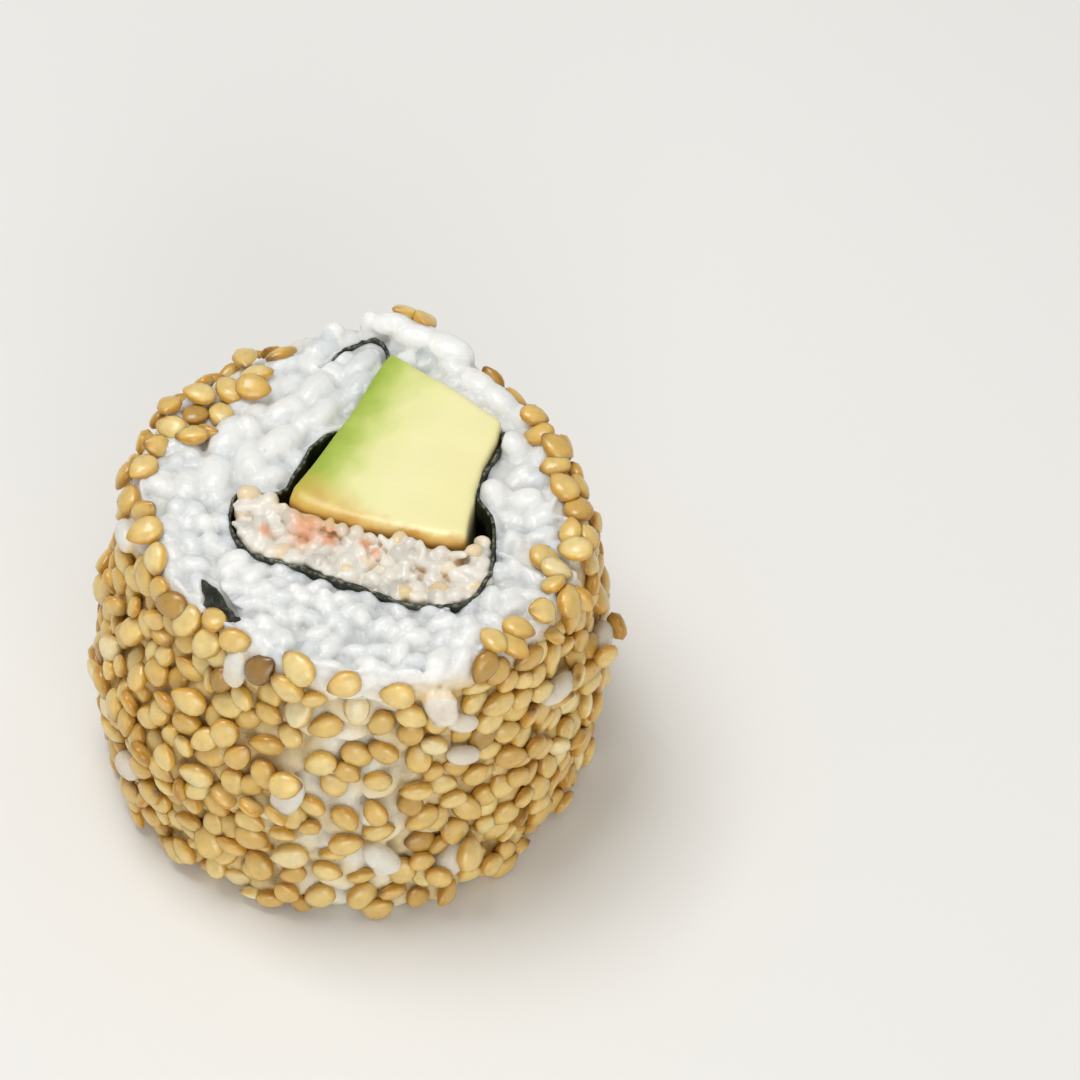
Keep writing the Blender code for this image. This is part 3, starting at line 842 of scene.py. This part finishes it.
def buildNori():
    settings = noriSet
    line = evenLine(settings["wrap"] + settings["tail"], settings["step"])
    heights, count, rows = settings["heights"], len(line), len(settings["heights"]) + 1
    tailFrom = min(range(count), key=lambda i: (line[i] - Vector(settings["wrap"][-1])).length)
    points = []
    for face in (1, -1):
        for index, (p, n) in enumerate(zip(line, leftOf(line))):
            torn = 0.15 + 0.3 * noise.noise(Vector((index * 0.31, 4.0, 0.0)))
            torn += settings["torn"] * noise.noise(Vector((index * 0.9, 0, 9)))
            top = rollHeight + torn - settings["coveredDepth"] * covered(p)
            top -= 0.25 if index > tailFrom else 0.0
            for row in range(rows):
                z = heights[row] * (top - 0.3) / heights[-1] if row < rows - 1 else top
                wrinkle = noise.noise(Vector((p.x, p.y, z * 0.5)) / settings["waveLength"])
                half = settings["thickness"] / 2 * (1 + 0.35 * noise.noise(Vector((p.x * 1.3, p.y * 1.3, z))))
                half *= 0.8 if row == rows - 1 else 1.0
                q = p + n * (settings["waveHeight"] * wrinkle + face * half)
                points.append((q.x, q.y, z))
    other = count * rows
    faces = []
    for i in range(count - 1):
        for r in range(rows - 1):
            a, b = i * rows + r, (i + 1) * rows + r
            faces.append((a, b, b + 1, a + 1)[::-1])
            faces.append((other + a, other + b, other + b + 1, other + a + 1))
        top, low = i * rows + rows - 1, i * rows
        faces.append((top, top + rows, other + top + rows, other + top)[::-1])
        faces.append((low, low + rows, other + low + rows, other + low))
    for r in range(rows - 1):
        faces.append((r, r + 1, other + r + 1, other + r)[::-1])
        e = (count - 1) * rows + r
        faces.append((e, e + 1, other + e + 1, other + e))
    mesh = meshOf("nori", points, faces)
    # The top row carries the mask for the painted highlights along the torn edge.
    addValues(mesh, "edge", [1.0 if index % rows == rows - 1 else 0.0 for index in range(len(points))])
    return mesh


# The torn scrap on the rim: the frame's plate, crumpled, with a torn outline.
def buildFlap():
    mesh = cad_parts["nori_flap"].data.copy()
    mesh.transform(toDrawing)
    mesh = fuse("nori flap", [mesh], 0.1, 2)
    coords = coordsOf(mesh)
    middle = coords.mean(0)
    tear = np.array([noise.noise_vector(Vector(c) / 0.8)[:] for c in coords])
    reach = np.linalg.norm(coords - middle, axis=1)
    coords += tear * np.clip((reach - 0.8) / 1.5, 0.1, 1)[:, None] * 0.45
    crumple = np.array([noise.noise(Vector(c) / 1.3) for c in coords])
    coords += flapOutward * (0.25 + 0.4 * crumple)[:, None]
    coords = middle + (coords - middle) * 1.05 + np.array((0.0, -0.7, -0.1))
    setCoords(mesh, coords)
    # Painted highlights: a mask on the bulges where the scrap is crumpled outwards.
    addValues(mesh, "edge", np.clip(crumple + 0.1, 0, 0.4))
    return mesh


# Roasted nori gone moist: green-black, wrinkled, with a dull satin sheen, and light flecks painted on as
# highlights along its top edge and on the scrap's bulges.
def noriFinish():
    finish, tree, shader = newFinish("moist nori")
    place = addNode(tree, "ShaderNodeTexCoord").outputs["Object"]
    edge = addNode(tree, "ShaderNodeAttribute", attribute_name="edge").outputs["Fac"]
    fibres, patches = (addNode(tree, "ShaderNodeTexNoise", {
        "Vector": place, "Scale": 1 / (noriSet[name] * mm), "Detail": detail}).outputs["Fac"]
        for name, detail in (("fibres", 4.0), ("patches", 3.0)))
    green = setStops(addNode(tree, "ShaderNodeValToRGB", {"Fac": patches}),
                     [(0.35, "12150E"), (0.52, "22261B"), (0.66, "3E4234"), (0.8, "686A58")])
    flecks = addNode(tree, "ShaderNodeMapRange", {0: fibres, 1: 0.46, 2: 0.66}).outputs[0]
    # Painted highlights: light flecks where the mask and the fibres meet.
    paintedGlints = addNode(tree, "ShaderNodeMath", {0: edge, 1: flecks}, operation="MULTIPLY").outputs[0]
    colour = addNode(tree, "ShaderNodeMix", {0: paintedGlints, 6: green, 7: "80816D"}, data_type="RGBA").outputs[2]
    bump = addNode(tree, "ShaderNodeBump", {"Height": fibres, "Strength": 0.8, "Distance": 0.3 * mm})
    rough = addNode(tree, "ShaderNodeMapRange", {0: patches, 3: 0.35, 4: 0.6}).outputs[0]
    fillInputs(tree, shader, {
        "Base Color": colour, "Roughness": rough, "Normal": bump.outputs[0], "IOR": 1.45})
    return finish


noriLook = noriFinish()
finishPiece("nori_wrap", buildNori(), noriLook, ["nori"])
finishPiece("nori_scrap", buildFlap(), noriLook, ["nori_flap"])
print("nori done")


# A bar cut from the avocado's side, with the skin pared away on the left.
avocadoSet = {
    "voxel": 0.3, "waveHeight": 0.1, "waveLength": 3.0, "slump": 1.1, "drop": 0.45,
    "skinSide": (0.882, -0.471),  # the way in from the skin side
    "blotches": 3.1, "pores": 0.55,  # widths of the patterns in its finish
}
# x, then y, along the bar's front.
frontEdge = (-5.1, -3.9, -1.0, 1.2, 5.0, 8.0, 9.8), (-0.7, -1.6, -2.8, -3.5, -4.6, -5.3, -5.4)


def buildAvocado():
    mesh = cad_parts["avocado"].data.copy()
    mesh.transform(toDrawing)
    mesh = fuse("avocado", [mesh], avocadoSet["voxel"], 2)
    coords = coordsOf(mesh)
    normals = np.array([v.normal[:] for v in mesh.vertices])
    waves = np.array([noise.noise(Vector(c) / avocadoSet["waveLength"]) for c in coords])
    coords += normals * (waves * avocadoSet["waveHeight"])[:, None]
    # Distance in from the skin side; that side bows out a little towards the apex.
    inX, inY = avocadoSet["skinSide"]
    fromSkin = (coords[:, 0] + 4.7) * inX + (coords[:, 1] + 0.8) * inY
    bow = 0.045 * np.clip(coords[:, 1] + 1, 0, 16) * np.clip(1 - fromSkin / 4, 0, 1)
    coords[:, 0] -= inX * bow
    coords[:, 1] -= inY * bow
    coords[:, 0] += 0.4 * np.clip((coords[:, 0] - 6) / 3, 0, 1) * np.clip((coords[:, 1] + 5) / 4, 0, 1)
    # The front edge slumps down on to the crab mix, most of all at the left.
    fromFront = coords[:, 1] - np.interp(coords[:, 0], *frontEdge)
    slump = avocadoSet["slump"] + 0.8 * np.clip(-coords[:, 0] / 5, 0, 1)
    drop = avocadoSet["drop"] * np.clip(1 - fromFront / slump, 0, 1) ** 1.6
    coords[:, 2] -= np.where(coords[:, 2] > 29, drop, 0)
    coords[:, 2] = np.maximum(coords[:, 2], 0.0)
    setCoords(mesh, coords)
    addValues(mesh, "fromSkin", np.clip(fromSkin / 14, 0, 1))
    addValues(mesh, "fromFront", np.clip(fromFront / 6, 0, 1))
    below = np.clip((31.8 - coords[:, 2]) / 0.45, 0, 1)
    addValues(mesh, "wall", below * np.clip(1 - fromFront / 0.9, 0, 1))
    return mesh


# Ripe avocado flesh: oily, green by the skin, butter-yellow towards the stone, browning at the front edge.
def avocadoFinish():
    finish, tree, shader = newFinish("avocado flesh")
    place = addNode(tree, "ShaderNodeTexCoord").outputs["Object"]
    fromSkin, fromFront, wall = (addNode(tree, "ShaderNodeAttribute", attribute_name=name).outputs["Fac"]
                                 for name in ("fromSkin", "fromFront", "wall"))
    blotch, pores = (addNode(tree, "ShaderNodeTexNoise", {
        "Vector": place, "Scale": 1 / (avocadoSet[name] * mm), "Detail": detail}).outputs["Fac"]
        for name, detail in (("blotches", 3.0), ("pores", 2.0)))
    shift = addNode(tree, "ShaderNodeMapRange", {0: blotch, 1: 0.3, 2: 0.7, 3: -0.05, 4: 0.05}).outputs[0]
    moved = addNode(tree, "ShaderNodeMath", {0: fromSkin, 1: shift}, operation="ADD").outputs[0]
    flesh = setStops(addNode(tree, "ShaderNodeValToRGB", {"Fac": moved}),
                     [(0.0, "98AE3E"), (0.07, "AFC058"), (0.15, "CCD37F"),
                      (0.27, "E4E2A2"), (0.5, "EBE5AE"), (1.0, "E9E1A6")])
    # The cut face has started to brown where it meets the crab mix.
    brown = setStops(addNode(tree, "ShaderNodeValToRGB", {"Fac": blotch}),
                     [(0.35, "DDB858"), (0.7, "C08C3C")])
    jagged = addNode(tree, "ShaderNodeMapRange", {0: blotch, 1: 0.3, 2: 0.7, 3: 0.12, 4: -0.12}).outputs[0]
    reach = addNode(tree, "ShaderNodeMath", {0: fromFront, 1: jagged}, operation="ADD").outputs[0]
    leaning = addNode(tree, "ShaderNodeMapRange", {0: fromSkin, 1: 0.1, 2: 0.65, 3: 0.85, 4: 0.16}).outputs[0]
    near = addNode(tree, "ShaderNodeMapRange", {0: reach, 1: 0.0, 2: leaning, 3: 1.0, 4: 0.0}).outputs[0]
    smeared = addNode(tree, "ShaderNodeMix", {0: near, 6: flesh, 7: brown}, data_type="RGBA").outputs[2]
    colour = addNode(tree, "ShaderNodeMix", {0: wall, 6: smeared, 7: "D6A858"}, data_type="RGBA").outputs[2]
    bump = addNode(tree, "ShaderNodeBump", {"Height": pores, "Strength": 0.25, "Distance": 0.1 * mm})
    fillInputs(tree, shader, {
        "Base Color": colour, "Roughness": 0.34, "Normal": bump.outputs[0], "IOR": 1.45,
        "Subsurface Weight": 0.3, "Subsurface Radius": (1.0, 0.9, 0.4), "Subsurface Scale": 1.2 * mm})
    return finish


finishPiece("avocado_bar", buildAvocado(), avocadoFinish(), ["avocado"])
print("avocado done")


# The bed of crab mix in front of the avocado: soft lumps and short shreds.
crabSet = {
    "lump": 2.2, "lumpSpacing": 1.0, "shred": 2.8, "voxel": 0.2, "rise": 1.3, "seed": 21,
    "blotches": 2.4,  # width of the pattern in its finish
    # Pink flakes: x, y, radius.
    "pink": [(-3.4, -3.6, 1.5), (-6.8, -3.8, 0.6), (-1.6, -4.6, 0.8), (1.4, -5.2, 0.6), (2.3, -6.0, 0.5)],
}


# The bed climbs towards the avocado's front edge.
def riseAt(p):
    climb = min(max(1 - (float(np.interp(p.x, *frontEdge)) - p.y) / 3.0, 0), 1)
    return crabSet["rise"] * climb * min(max(11 - p.x, 0), 1)


# Centres of the lumps: all over the bed's top, and pressed up against the nori round it.
def layLumps(source, coords, skin):
    low = Vector((min(c[i] for c in coords) for i in range(3)))
    high = Vector((max(c[i] for c in coords) for i in range(3)))
    up = Vector((0, 0, 1))

    def aim(source):
        above = Vector((source.uniform(low.x, high.x), source.uniform(low.y, high.y), 60))
        hit = skin.ray_cast(above, -up)[0]
        return None if hit is None else (hit + up * (source.uniform(-0.55, 0.05) + riseAt(hit)), up)

    centres = [dart[0] for dart in throwDarts(source, 5000, crabSet["lumpSpacing"], aim)]
    for p, n in zip(wrapLine, leftOf(wrapLine)):
        if p.y < (0.1 if p.x < 0 else -4.4):
            middle = p - n * (noriSet["thickness"] / 2 + 0.8)
            centres.append(Vector((middle.x, middle.y, rollHeight - source.uniform(0.2, 0.5))))
    return centres


def buildCrab():
    settings, source = crabSet, random.Random(crabSet["seed"])
    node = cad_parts["crab_mix"]
    coords = [toDrawing @ v.co for v in node.data.vertices]
    skin = BVHTree.FromPolygons(coords, [p.vertices[:] for p in node.data.polygons])
    centres = layLumps(source, coords, skin)
    up = Vector((0, 0, 1))
    lumps, shreds = [], []
    for centre in centres:
        if source.random() < 0.22:
            turn = randomTurn(source, up, 0.25)[0]
            shreds.append((centre + up * 0.25, turn, source.uniform(0.7, 1.0)))
        else:
            lumps.append((centre, randomTurn(source, up, 0.8)[0], source.uniform(0.5, 1.05)))
    lumpShape = turnedShape("lump", lambda t: (1 - abs(t) ** 2.4) ** 0.5, 7, 8)
    shredShape = turnedShape("shred", lambda t: (1 - abs(t) ** 5) ** 0.5, 8, 7, bend=0.5)
    size = settings["lump"]
    body = scatterShape("lumps", lumps, lumpShape, size, size * 0.8, size * 0.75, 0.15, 4)
    strands = scatterShape("shreds", shreds, shredShape, settings["shred"], 0.95, 0.85, 0.15, 9)
    bed = node.data.copy()
    bed.transform(toDrawing)
    inner = coordsOf(bed)
    lifts = np.array([riseAt(Vector(c)) for c in inner])
    inner[:, 2] = np.where(inner[:, 2] > 15, inner[:, 2] - 0.35 + lifts, inner[:, 2])
    setCoords(bed, inner)
    mesh = fuse("crab mix", [body, strands, bed], settings["voxel"], 1)

    tints = np.array([source.random() for _ in centres])
    coords = coordsOf(mesh)
    nearest = nearestOf(centres, coords)
    addValues(mesh, "tint", tints[nearest])
    # How far each point lies below its lump's middle: the mask for the painted shade in the gaps.
    middles = np.array([centre.z for centre in centres])
    addValues(mesh, "hollow", np.clip((middles[nearest] + 0.45 - coords[:, 2]) / 0.75, 0, 1))
    pink = np.zeros(len(coords))
    for x, y, radius in settings["pink"]:
        away = np.hypot(coords[:, 0] - x, coords[:, 1] - y) / radius
        pink = np.maximum(pink, np.clip(1.35 - away, 0, 1))
    addValues(mesh, "pink", pink)
    smear = np.clip(np.array([riseAt(Vector(c)) for c in coords]) / settings["rise"] - 0.35, 0, 1)
    smear *= np.clip((2.0 - coords[:, 0]) / 3, 0, 1) * np.clip((coords[:, 0] + 6.6) / 1.4, 0, 1)
    addValues(mesh, "smeared", smear)
    return mesh


# Flaked crab stick in mayonnaise: moist and off-white, pink here and there, with painted shade, in browns, in
# the gaps between lumps.
def crabFinish():
    finish, tree, shader = newFinish("crab mix")
    place = addNode(tree, "ShaderNodeTexCoord").outputs["Object"]
    tint, hollow, pink, smeared = (addNode(tree, "ShaderNodeAttribute", attribute_name=name).outputs["Fac"]
                                   for name in ("tint", "hollow", "pink", "smeared"))
    blotch = addNode(tree, "ShaderNodeTexNoise", {
        "Vector": place, "Scale": 1 / (crabSet["blotches"] * mm), "Detail": 3.0}).outputs["Fac"]
    lump = setStops(addNode(tree, "ShaderNodeValToRGB", {"Fac": tint}),
                    [(0.0, "C6C2B8"), (0.3, "D8D3C8"), (0.82, "E5E0D5"), (0.93, "E0CFB0"), (1.0, "DAC296")])
    gapShadeColour = setStops(addNode(tree, "ShaderNodeValToRGB", {"Fac": blotch}),
                     [(0.35, "C7A672"), (0.65, "A2773F")])
    # Painted shade: the gaps between lumps go brown.
    shadeAmount = addNode(tree, "ShaderNodeMapRange", {0: hollow, 1: 0.35, 2: 0.95, 3: 0.0, 4: 0.95}).outputs[0]
    rosy = addNode(tree, "ShaderNodeMix", {0: pink, 6: lump, 7: "DFA888"}, data_type="RGBA").outputs[2]
    oily = addNode(tree, "ShaderNodeMix", {0: smeared, 6: rosy, 7: "D6A54E"}, data_type="RGBA").outputs[2]
    colour = addNode(tree, "ShaderNodeMix", {0: shadeAmount, 6: oily, 7: gapShadeColour}, data_type="RGBA").outputs[2]
    fillInputs(tree, shader, {
        "Base Color": colour, "Roughness": 0.24, "IOR": 1.4, "Subsurface Weight": 0.4,
        "Subsurface Radius": (1.0, 0.7, 0.5), "Subsurface Scale": 0.8 * mm})
    return finish


finishPiece("crab_bed", buildCrab(), crabFinish(), ["crab_mix"])
print("crab mix done")


def addLight(name, place, size, power):
    lamp = bpy.data.lights.new(name, "AREA")
    lamp.shape, lamp.size, lamp.energy = "SQUARE", size, power
    light = newObject(name, lamp)
    light.location = place
    light.rotation_euler = (Vector((0, 0, 0.02)) - Vector(place)).to_track_quat("-Z", "Y").to_euler()


def buildStage():
    corners = [(-3, -3, 0), (3, -3, 0), (3, 3, 0), (-3, 3, 0)]
    floor = newObject("floor", meshOf("floor", corners, [(0, 1, 2, 3)]))
    finish, tree, shader = newFinish("pale floor")
    fillInputs(tree, shader, {"Base Color": "E8E7E4", "Roughness": 0.7})
    floor.data.materials.append(finish)
    world = bpy.data.worlds.new("studio")
    world.use_nodes = True
    fillInputs(world.node_tree, world.node_tree.nodes["Background"], {"Color": "F7F6F3", "Strength": 0.5})
    scene.world = world
    addLight("key softbox", (-0.08, 0.04, 0.43), 0.2, 1.04)
    addLight("front fill", (0.1, -0.5, 0.2), 0.35, 1.18)


# Looks down at the front from 50 degrees, a long lens away; the roll stands left of the middle.
def placeCamera():
    settings = {"target": (15.8, 5.0, 19.7), "elevation": 50.0, "distance": 400.0, "lens": 156.0}
    camera = newObject("camera", bpy.data.cameras.new("camera"))
    tilt = math.radians(settings["elevation"])
    target = toScene @ Vector(settings["target"])
    camera.location = target + Vector((0, -math.cos(tilt), math.sin(tilt))) * settings["distance"] * mm
    camera.rotation_euler = (math.pi / 2 - tilt, 0, 0)
    camera.data.lens, camera.data.sensor_width = settings["lens"], 36.0
    camera.data.clip_start, camera.data.clip_end = 0.02, 20.0
    scene.camera = camera


buildStage()
placeCamera()
scene.view_settings.view_transform = "Standard"
print("stage done")
